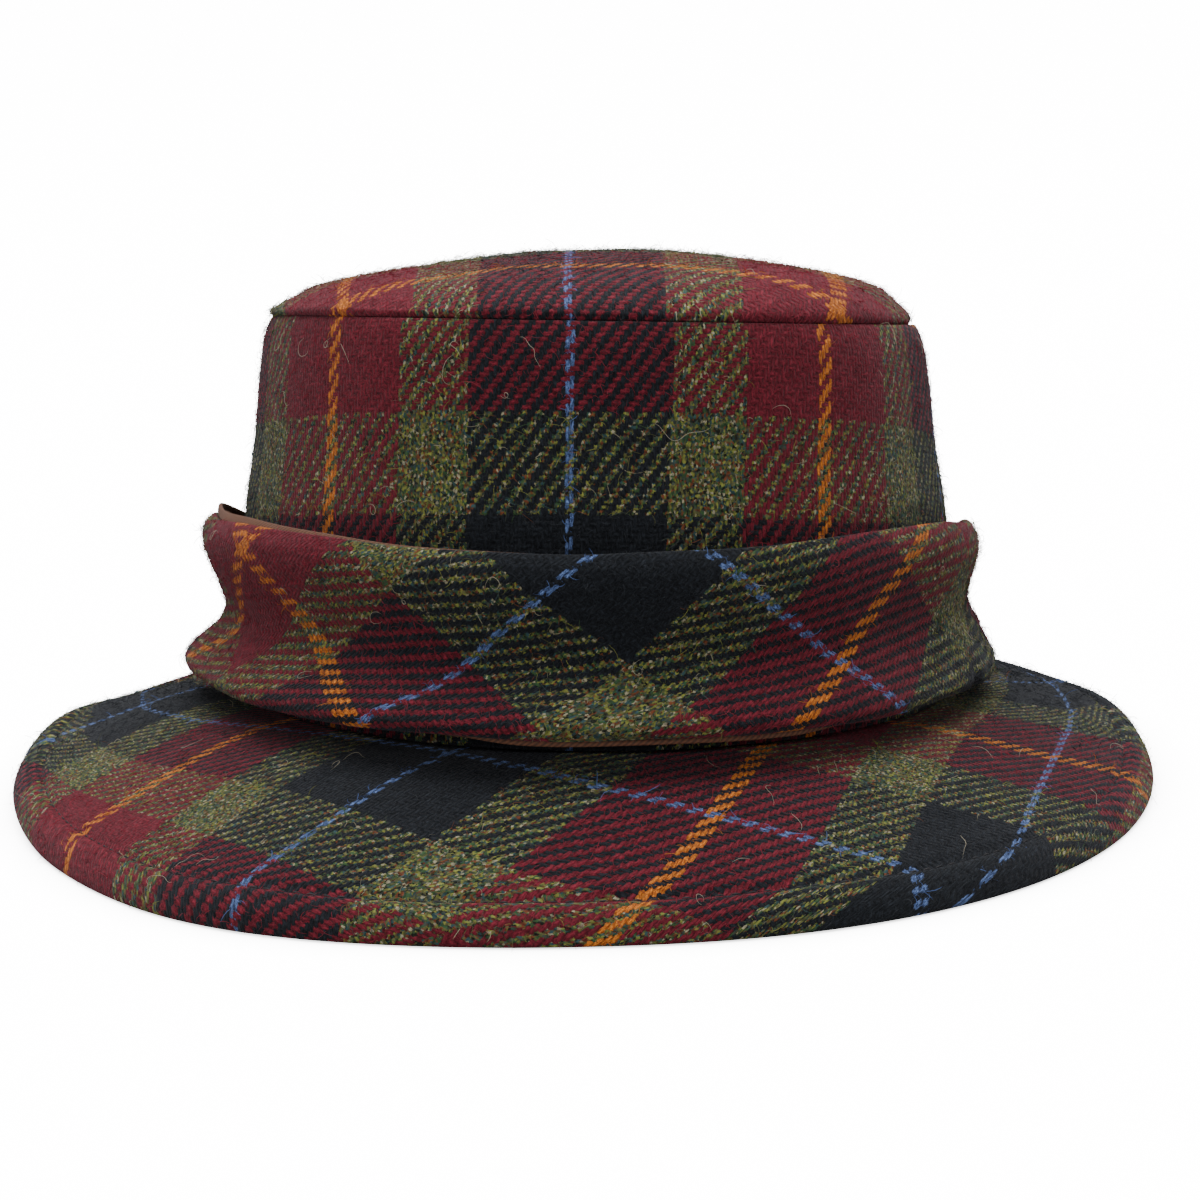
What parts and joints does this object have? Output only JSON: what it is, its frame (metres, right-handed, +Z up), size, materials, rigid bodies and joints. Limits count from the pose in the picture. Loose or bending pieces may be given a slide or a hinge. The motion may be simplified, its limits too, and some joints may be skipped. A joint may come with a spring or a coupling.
{
  "type": "tweed hat",
  "caption": "Soft tweed hat with a domed oval tip, a flared side band, a standing cuff with brown facings and a sloping brim.",
  "frame": {"origin": "on the plane that the rim rests on, below the middle of the rim", "axes": "+Z up through the crown, the front of the hat towards -Y, +X to the right as the front is seen"},
  "size_m": [0.2808, 0.306, 0.1329],
  "materials": {
    "tweed": "brushed wool twill woven in a check of wine, black and olive heather with single orange and blue lines",
    "brown_facing": "smooth brown cloth strip, matt"
  },
  "bodies": {
    "root": {"crown_tip": "tweed", "crown_side": "tweed", "cuff": "tweed", "cuff_upper_facing": "brown_facing", "cuff_lower_facing": "brown_facing", "brim": "tweed"}
  },
  "joints": []
}
